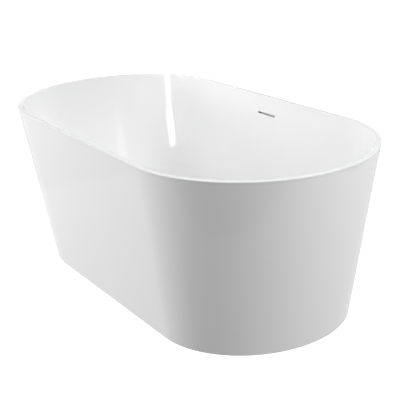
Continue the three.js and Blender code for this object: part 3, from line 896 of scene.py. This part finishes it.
def build_waste():
    body = turned("waste_flange_body", [
        (18, 80.5), (18.4, 80), (19.6, 80), (19.8, 80.6), *thread(20.4, 0.7, 2, 81, 149),
        (20, 150.5), (20, 152.1), (35.2, 152.1), (36, 152.6), (36, 153.2), (34.6, 154.5),
        (32.4, 155.1), (22, 155.1), (20, 154.7), (18.6, 153.6), (18, 152.2),
    ], sides=48)
    for turn in (0, pi / 2):
        window = block("window", (0.014, 0.060, 0.009), 0.002)
        window.data.transform(shift(0, 0, PORT_Z - 0.002) @ spin(turn, "Z"))
        combine(body, window, "DIFFERENCE")
    merge(body, turned("guide", rounded(section(3.6, 7, 126, 148), 0.6), sides=32))
    for i in range(3):
        arm = block("arm", (0.013, 0.003, 0.014), 0.0009)
        arm.data.transform(spin(2 * pi / 3 * i + pi / 6, "Z") @ shift(0.0125, 0, 0.141))
        merge(body, arm)
    dress(body, "chrome", "root", "waste_flange")

    top = turned("waste_seal_top", rounded(section(22, 35, 150.3, 151.8), 0.5))
    dress(top, "rubber", "root", "waste_gasket_top")
    bottom = turned("waste_seal_bottom", rounded(section(21.4, 35, 142.5, 144.7), 0.7))
    dress(bottom, "rubber", "root", "waste_gasket_bottom")

    chamber = turned("waste_chamber", rounded([
        (20.7, 138.2), (27, 138.2), (27, 103), (20.7, 103), (20.7, 100), (30, 100),
        (30, 136.2), (34, 138.2), (34, 142.2), (20.7, 142.2),
    ], 0.8), sides=96)
    port = turned("port", [
        (0, 28), (9.2, 28), (9.2, 52), (9.5, 53), (8.7, 57), (9.5, 57.3), (8.7, 61.3),
        (9.5, 61.6), (8.6, 67.3), (8.2, 68), (0, 68),
    ], (0, 0, PORT_Z), axis="Y", sides=48)
    combine(chamber, port, "UNION")
    bore = turned("bore", section(0, SPIGOT_BORE, 20, 75), (0, 0, PORT_Z), axis="Y", sides=48)
    combine(chamber, bore, "DIFFERENCE")
    dress(chamber, "waste_plastic", "root", "waste_body")

    turned_node("waste_back_nut", "moulded", "waste_plastic", "root", [
        (20.7, 92.3), (21.3, 91.7), (hexagon(33, 29.6), 91.7), (hexagon(33), 93.1),
        (hexagon(33), 98.3), (hexagon(33, 29.6), 99.7), (21.3, 99.7), (20.7, 99.1),
    ], sides=96)


def build_plug():
    turned_node("plug_cap", "domed", "chrome", "plug", [
        (0, 160.8), (3.5, 160.8), (3.5, 157.6), (3.9, 157.3), (30.6, 157.3), (31.6, 157.7),
        (32, 158.6), (31.8, 159.5), (31.1, 160.2), (29.4, 160.8), (26.5, 161.4), (26.1, 161.2),
        (25.6, 161.5), (22, 162.1), (17, 162.6), (12, 163), (7, 163.2), (2.5, 163.3), (0, 163.3),
    ], sides=96)
    lip = rounded(section(24, 30, 155.4, 157), 0.6)
    turned_node("plug_seal", "lip", "rubber", "plug", lip, sides=96)
    turned_node("plug_stem", "turned", "zinc", "plug", [
        (0, 104), (4.3, 104), (5, 104.7), (5, 107.3), (4.4, 108), (3.2, 109), (3.2, 116),
        (2.6, 116.5), (2.6, 117.8), (3.2, 118.3), (3.2, 160), (2.8, 160.5), (0, 160.5),
    ], sides=32)


def build_trap():
    cap = fluted(45, 0.9, 36)
    body = turned("trap_cup", [
        (0, 14), (37.5, 14), (40, 14.4), (43.6, 17), (44.6, 19), (cap, 20.4), (cap, 29.6),
        (44.4, 30.4), (43.6, 30.8), (43.6, 31.6), (44.2, 32), (44.2, 64.6), (45, 65.2), (45, 67.6),
        (44.4, 69.2), (43, 70), (25.2, 70), (24, 70.8), *thread(24, 0.9, 3, 72, 85), (23.2, 86),
        (22.6, 87), (21.4, 87), (21, 86.4), (21, 67), (42, 67), (42, 22), (37, 17), (0, 17),
    ], sides=144)
    low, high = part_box("outlet_pipe")
    outlet = (0, 0, (low.z + high.z) / 2)
    profile = [(0, -85), (20.4, -85), (21, -84.2), (21, -40), (0, -40)]
    socket = turned("socket", profile, outlet, axis="X")
    combine(body, socket, "UNION")
    bore = turned("bore", section(0, 18.2, -90, -30), outlet, axis="X")
    combine(body, bore, "DIFFERENCE")
    dress(body, "waste_plastic", "root", "trap_body")

    grip = fluted(31, 1.3, 18)
    turned_node("trap_union_nut", "ribbed", "waste_plastic", "root", [
        (24.3, 72.5), (24.8, 72), (29.6, 72), (30.4, 72.5), (grip, 73.6), (grip, 87.6),
        (29.9, 89.4), (28.6, 90.8), (21.4, 90.8), (20.7, 90.2), (20.7, 87.6), (24.3, 87.3),
    ], sides=144)

    pipe = turned("outlet_tube", [
        (14.8, -229.4), (15.4, -230), (17.1, -230), (17.8, -229.2), (17.8, -60.8), (17.1, -60),
        (15.4, -60), (14.8, -60.6),
    ], outlet, axis="X", sides=96)
    dress(pipe, "waste_plastic", "root", "outlet_pipe")
    grip = fluted(27, 1.2, 16)
    turned_node("outlet_nut", "ribbed", "waste_plastic", "root", [
        (18.1, -87.9), (18.5, -88.3), (25.2, -88.3), (26.3, -87.4), (grip, -86), (grip, -71.2),
        (26.2, -69.4), (25.2, -68.3), (21.8, -68.3), (21.3, -68.8), (21.3, -85.3), (18.1, -85.3),
    ], outlet, axis="X", sides=128)


# ---- Overflow duct and hose ----

# Depths are measured from the slot's mouth into the wall, heights along the wall from the slot.
DUCT_FRONT = 0.0077
DUCT_THIN = 0.0076
DUCT_DEEP = 0.0216
DUCT_HALF_WIDTH = 0.062
DUCT_WALL = 0.0018
DUCT_CORNER = 0.0022
DUCT_TOP = 0.012
DUCT_BOTTOM = -0.150
DUCT_SHOULDER = DUCT_BOTTOM + 0.026  # the duct is at its deepest below this
MOUTH_LENGTH = SLOT_LENGTH - 0.0024
MOUTH_HEIGHT = SLOT_HEIGHT - 0.001
GASKET_LOW = SHELL + 0.001
GASKET_HIGH = SHELL + 0.0024
GASKET_HEIGHT = 0.020
SPIGOT_SETBACK = 0.0118
SPIGOT_END = -0.174
HOSE_OVERLAP = 0.020
# The route of the hose from under the duct to the port of the waste, as in part.mjs.
HOSE_LOW_ROUTE = [
    (0, 0.338, 0.250), (0, 0.318, 0.180), (0, 0.282, 0.120), (0, 0.228, 0.084),
    (0, 0.168, 0.076), (0, 0.120, 0.090), (0, 0.096, 0.108), (0, 0.074, PORT_Z),
    (0, 0.063, PORT_Z), (0, 0.052, PORT_Z),
]


def duct_ring(z, inset):
    """A section of the duct square to its length: thin at the slot, deep at the hose."""
    share = min(max((-SLOT_HEIGHT - z) / (-SLOT_HEIGHT - DUCT_SHOULDER), 0), 1)
    back = DUCT_FRONT + DUCT_THIN + (DUCT_DEEP - DUCT_THIN) * share - inset
    front = DUCT_FRONT + inset
    points = rounded_box(DUCT_HALF_WIDTH - inset, front, back, DUCT_CORNER)
    return [Vector((x, y, z)) for x, y in points]


def build_overflow_duct():
    end = [(0, 0.0015), (0.0005, 0.0005), (0.0015, 0)]
    heights = [(DUCT_BOTTOM + rise, inset) for rise, inset in end]
    heights += [(z, 0) for z in (DUCT_SHOULDER, -0.090, -0.050, -SLOT_HEIGHT)]
    heights += [(DUCT_TOP - drop, inset) for drop, inset in reversed(end)]
    rings = [duct_ring(z, inset) for z, inset in heights]
    piece = skin("overflow_duct_shell", rings, loop=False)
    place = (0, DUCT_FRONT + SPIGOT_SETBACK, 0)
    spigot = turned("spigot", [
        (0, -174), (8.3, -174), (8.8, -173.3), (9.5, -169), (8.7, -168.7), (9.5, -164.7),
        (8.7, -164.4), (9.4, -160), (9.4, -149), (0, -149),
    ], place, sides=48)
    combine(piece, spigot, "UNION")
    inner = (DUCT_BOTTOM + DUCT_WALL, DUCT_SHOULDER, -SLOT_HEIGHT, DUCT_TOP - DUCT_WALL)
    hollow = skin("hollow", [duct_ring(z, DUCT_WALL) for z in inner], loop=False)
    combine(piece, hollow, "DIFFERENCE")
    mouth = [bar_ring(MOUTH_LENGTH, MOUTH_HEIGHT, depth) for depth in (0, DUCT_FRONT + 0.003)]
    combine(piece, skin("mouth", mouth, loop=False), "DIFFERENCE")
    bore = turned("bore", section(0, SPIGOT_BORE, -180, -145), place, sides=48)
    combine(piece, bore, "DIFFERENCE")
    piece.data.transform(SLOT_PLACE)
    dress(piece, "waste_plastic", "root", "overflow_duct")


def build_overflow_gasket():
    low, high = GASKET_LOW, GASKET_HIGH
    soft = 0.0004
    length, height = SLOT_LENGTH + 2 * GAP, SLOT_HEIGHT + 2 * GAP
    rings = [bar_ring(length, height, low), bar_ring(length + soft, height + soft, low)]
    rings += [bar_ring(2 * DUCT_HALF_WIDTH, GASKET_HEIGHT, depth) for depth in (low, high)]
    rings += [bar_ring(length + soft, height + soft, high), bar_ring(length, height, high)]
    piece = skin("overflow_seal", rings)
    piece.data.transform(SLOT_PLACE)
    dress(piece, "rubber", "root", "overflow_gasket")


def hose_path():
    """Evenly spaced points of the hose's centre line: centripetal Catmull-Rom through its route."""
    start = SLOT_PLACE @ Vector((0, DUCT_FRONT + SPIGOT_SETBACK, SPIGOT_END + HOSE_OVERLAP))
    down = Vector((0, -sin(WALL_TILT), -cos(WALL_TILT)))
    route = [start, start + down * CUFF, start + down * 0.060]
    route += [Vector(point) for point in HOSE_LOW_ROUTE]
    route = [2 * route[0] - route[1]] + route + [2 * route[-1] - route[-2]]
    fine = []
    for a, b, c, d in zip(route, route[1:], route[2:], route[3:]):
        t0, t1 = 0.0, sqrt((b - a).length)
        t2 = t1 + sqrt((c - b).length)
        t3 = t2 + sqrt((d - c).length)
        for i in range(40):
            t = t1 + (t2 - t1) * i / 40
            ab = a.lerp(b, (t - t0) / (t1 - t0))
            bc = b.lerp(c, (t - t1) / (t2 - t1))
            cd = c.lerp(d, (t - t2) / (t3 - t2))
            abc = ab.lerp(bc, (t - t0) / (t2 - t0))
            bcd = bc.lerp(cd, (t - t1) / (t3 - t1))
            fine.append(abc.lerp(bcd, (t - t1) / (t2 - t1)))
    fine.append(route[-2])
    return fine


def build_hose():
    """A corrugated hose with a smooth cuff pushed onto the spigot at each end."""
    fine = hose_path()
    lengths = [0.0]
    for a, b in zip(fine, fine[1:]):
        lengths.append(lengths[-1] + (b - a).length)
    total = lengths[-1]
    step = RIB_PITCH / 6
    rings = []
    inner_rings = []
    k = 0
    for n in range(int(total / step) + 1):
        along = min(n * step, total)
        while k < len(fine) - 2 and lengths[k + 1] < along:
            k += 1
        share = (along - lengths[k]) / (lengths[k + 1] - lengths[k])
        point = fine[k].lerp(fine[k + 1], share)
        tangent = (fine[k + 1] - fine[k]).normalized()
        side = Vector((1, 0, 0))
        across = tangent.cross(side).normalized()
        plain = along < CUFF or along > total - CUFF
        wave = 0.0 if plain else 0.5 - 0.5 * cos(2 * pi * along / RIB_PITCH)
        outer = HOSE_RADIUS - RIB_DEPTH * wave ** 2
        inner = HOSE_BORE - 0.8 * RIB_DEPTH * wave ** 2
        for target, radius in ((rings, outer), (inner_rings, inner)):
            ring = []
            for i in range(28):
                angle = 2 * pi * i / 28
                middle = point + side * radius * cos(angle)
                ring.append(middle + across * radius * sin(angle))
            target.append(ring)
    piece = skin("overflow_hose_corrugated", rings + inner_rings[::-1], angle=radians(70))
    dress(piece, "hose_plastic", "root", "overflow_hose")


def build_clips():
    """Worm-drive clips: a slotted band with its screw in a pressed housing."""
    for node, turn in (("hose_clip_top", -WALL_TILT), ("hose_clip_bottom", -pi / 2)):
        band = turned(f"{node}_band", rounded(section(12.7, 13.8, -5, 5), 0.4))
        for i in range(24):
            notch = block("notch", (0.0009, 0.0012, 0.006), 0.0003)
            notch.data.transform(spin(2 * pi * i / 24, "Z") @ shift(0.0136, 0, 0))
            merge(band, notch)
        housing = block("housing", (0.0075, 0.0055, 0.0085), 0.0012)
        housing.data.transform(shift(0, 0.0160, 0))
        merge(band, housing)
        screw = turned("screw", [
            (0, -8.5), (2.2, -8.5), (2.4, -8.2), *thread(2.5, 0.4, 1.2, -7.5, 4), (2.6, 4.4),
            (hexagon(4, 3.7), 4.6), (hexagon(4), 5), (hexagon(4), 8), (hexagon(4, 3.7), 8.6),
            (0, 8.6),
        ], (0, 0.0170, 0), axis="X", sides=24)
        merge(band, screw)
        band.data.transform(shift(*centre(node)) @ spin(turn, "X"))
        dress(band, "zinc", "root", node)


# ---- Stage, light and camera ----


def add_camera():
    """Seen from the right front, a little above the rim, with the picture tipped slightly."""
    azimuth = radians(59.67)
    elevation = radians(19.21)
    roll = radians(-3.79)
    distance = 3.394
    target = Vector((0.0642, 0.0238, 0.300))
    level = cos(elevation)
    back = Vector((sin(azimuth) * level, -cos(azimuth) * level, sin(elevation)))
    right = Vector((cos(azimuth), sin(azimuth), 0))
    up = back.cross(right)
    right_rolled = right * cos(roll) + up * sin(roll)
    up_rolled = up * cos(roll) - right * sin(roll)
    data = bpy.data.cameras.new("camera")
    data.lens = 86.2
    data.sensor_width = 36.0
    camera = new_object("camera", data)
    matrix = Matrix((right_rolled, up_rolled, back)).transposed().to_4x4()
    matrix.translation = target + back * distance
    camera.matrix_world = matrix
    bpy.context.scene.camera = camera


def toward(azimuth, elevation):
    """A direction from the tub. Azimuth is measured from +X towards +Y, in degrees."""
    a, e = radians(azimuth), radians(elevation)
    return Vector((cos(a) * cos(e), sin(a) * cos(e), sin(e)))


def add_panel(name, place, facing, size, power):
    """An area light whose back looks along facing."""
    data = bpy.data.lights.new(name, "AREA")
    data.shape = "RECTANGLE"
    data.size, data.size_y = size
    data.energy = power
    panel = new_object(name, data)
    panel.matrix_world = shift(*place) @ facing
    panel.visible_camera = False
    return panel


TUB_MIDDLE = Vector((0, 0, 0.35))
SOFTBOX_DISTANCE = 4.0
SOFTBOXES = [
    # name, azimuth, elevation, size, power: behind diffusion, so they leave no sharp reflection
    ("key_left_back", -145, 8, (1.2, 1.0), 70),
    ("key_left", -125, 25, (1.2, 1.0), 30),
    ("fill_right", 18, 29, (1.2, 1.0), 76),
    ("fill_back", 120, 32, (1.2, 1.0), 53),
    ("overhead_front", -86, 60, (1.6, 1.6), 63),
]


def add_softboxes():
    for name, azimuth, elevation, size, power in SOFTBOXES:
        direction = toward(azimuth, elevation)
        facing = direction.to_track_quat("Z", "Y").to_matrix().to_4x4()
        softbox = add_panel(name, TUB_MIDDLE + direction * SOFTBOX_DISTANCE, facing, size, power)
        softbox.visible_glossy = False


def add_strips():
    """Strip lights that show only as streaks in the gloss of the far end's wall."""
    # The low one stands inside the tub, where the near rim would hide the others' reflections.
    for name, place, azimuth, lean, size, spread, power in [
        ("strip_front", (-0.60, -4.0, 1.35), -90, -12, (0.46, 1.3), 180, 8),
        ("strip_front_low", (-0.602, -0.27, 0.490), -90, 0, (0.066, 0.186), 50, 0.038),
        ("strip_right", (4.0, -1.35, 2.05), 0, -52, (0.9, 0.7), 180, 4.2),
    ]:
        facing = toward(azimuth, 0).to_track_quat("Z", "Y").to_matrix().to_4x4()
        facing = facing @ spin(radians(lean), "Z")
        strip = add_panel(name, place, facing, size, power)
        strip.data.spread = radians(spread)
        strip.visible_diffuse = False


SKY = 0.2
SKY_BACKDROP = 0.35  # how much brighter the sky is over the white backdrop
BACKDROP_AZIMUTH = 130
GROUND = 0.47
GROUND_LEFT = 0.5  # how much brighter the ground is at the key light's side
KEY_AZIMUTH = -165


def add_world():
    """Plain soft light from the sky and the ground, and white where the camera sees it."""
    world = bpy.data.worlds.new("studio")
    bpy.context.scene.world = world
    world.use_nodes = True
    nodes = Nodes(world.node_tree)
    nodes.tree.nodes.clear()
    place = nodes.add("ShaderNodeTexCoord").outputs["Generated"]
    axes = nodes.add("ShaderNodeSeparateXYZ")
    nodes.link(place, axes.inputs["Vector"])

    def smooth_range(*span):
        return nodes.map_range(*span, interpolation_type="SMOOTHSTEP")

    def towards_side(azimuth, start, low, high):
        along = nodes.add("ShaderNodeVectorMath", {1: toward(azimuth, 0)}, operation="DOT_PRODUCT")
        nodes.link(place, along.inputs[0])
        return smooth_range(along.outputs["Value"], start, 0.9, low, high)

    sky = towards_side(BACKDROP_AZIMUTH, 0.1, SKY, SKY + SKY_BACKDROP)
    ground = towards_side(KEY_AZIMUTH, -0.2, GROUND, GROUND + GROUND_LEFT)
    above = smooth_range(axes.outputs["Z"], -0.1, 0.1, 0.0, 1.0)
    strength = nodes.add("ShaderNodeMix", data_type="FLOAT")
    nodes.link(above, strength.inputs["Factor"])
    nodes.link(ground, strength.inputs["A"])
    nodes.link(sky, strength.inputs["B"])
    light = nodes.add("ShaderNodeBackground")
    nodes.link(strength.outputs["Result"], light.inputs["Strength"])
    seen = nodes.add("ShaderNodeBackground", {"Color": (1, 1, 1, 1)})
    ray = nodes.add("ShaderNodeLightPath")
    mix = nodes.add("ShaderNodeMixShader")
    output = nodes.add("ShaderNodeOutputWorld")
    nodes.link(ray.outputs["Is Camera Ray"], mix.inputs["Fac"])
    nodes.link(light.outputs["Background"], mix.inputs[1])
    nodes.link(seen.outputs["Background"], mix.inputs[2])
    nodes.link(mix.outputs["Shader"], output.inputs["Surface"])


def add_stage_piece(name, outline, white, glow, *unseen_by):
    """A flat piece of the studio with a glow of its own, unseen by some kinds of ray."""
    piece = make_object(name, outline, [tuple(range(len(outline)))])
    material = bpy.data.materials.new(name)
    material.use_nodes = True
    set_inputs(material.node_tree.nodes["Principled BSDF"], {
        "Base Color": (white, white, white, 1), "Specular IOR Level": 0.0, "Roughness": 0.9,
        "Emission Color": (1, 1, 1, 1), "Emission Strength": glow,
    })
    piece.data.materials.append(material)
    piece.visible_shadow = False
    for ray in unseen_by:
        setattr(piece, f"visible_{ray}", False)


FLOOR_HALF = 30.0
FLOOR_WHITE = 0.9
# Edges of the pale sheet that the tub stands on: azimuth of each, and its distance from the middle.
SHEET_EDGES = [(-138.6, 1.25), (-48.6, 1.11), (41.4, 1.45), (131.4, 1.40)]
SHEET_DULL = 0.38  # how bright the sheet lights the tub's sides: painted shade, dimmer than the ground round it, standing in for the tub's shadow on the floor under it
SHEET_GLOSS = 0.92  # how bright the sheet looks in their gloss
SCREEN_AZIMUTH = 150
SCREEN_DISTANCE = 3.2
SCREEN_HALF_WIDTH = 2.6
SCREEN_HEIGHT = 1.25


def add_floor():
    """A plain white floor for the camera, and the sheet under the tub that lights its sides."""
    half = FLOOR_HALF
    corners = [(-half, -half, 0), (half, -half, 0), (half, half, 0), (-half, half, 0)]
    add_stage_piece("floor", corners, FLOOR_WHITE, 1.0, "diffuse", "glossy")
    edges = [toward(azimuth, 0) * reach for azimuth, reach in SHEET_EDGES]
    sheet = [edge + edges[i - 1] for i, edge in enumerate(edges)]
    # The dull sheet's low glow is painted shade: the tub's shadow on the floor, as the tub's sides
    # see it.
    for name, z, glow, other in [
        ("floor_sheet_dull", 0.001, SHEET_DULL, "glossy"),
        ("floor_sheet_gloss", 0.002, SHEET_GLOSS, "diffuse"),
    ]:
        add_stage_piece(name, [(p.x, p.y, z) for p in sheet], 0.0, glow, "camera", other)


def add_screen():
    """A white screen behind the tub, which keeps the far rim's gloss from looking dark."""
    middle = toward(SCREEN_AZIMUTH, 0) * SCREEN_DISTANCE
    reach = toward(SCREEN_AZIMUTH - 90, 0) * SCREEN_HALF_WIDTH
    top = Vector((0, 0, SCREEN_HEIGHT))
    corners = [middle - reach, middle + reach, middle + reach + top, middle - reach + top]
    add_stage_piece("backdrop_gloss", corners, 0.0, 1.0, "camera", "diffuse")


# ---- Assembly ----

bpy.context.scene.view_settings.view_transform = "Standard"
add_camera()
add_world()
add_floor()
add_screen()
add_softboxes()
add_strips()
carry_over()
build_basin()
build_skirt()
build_overflow_trim()
build_batten()
build_board()
build_frame()
build_screws()
build_brackets()
for foot in FEET:
    build_foot(foot)
build_waste()
build_plug()
build_trap()
build_overflow_duct()
build_overflow_gasket()
build_hose()
build_clips()
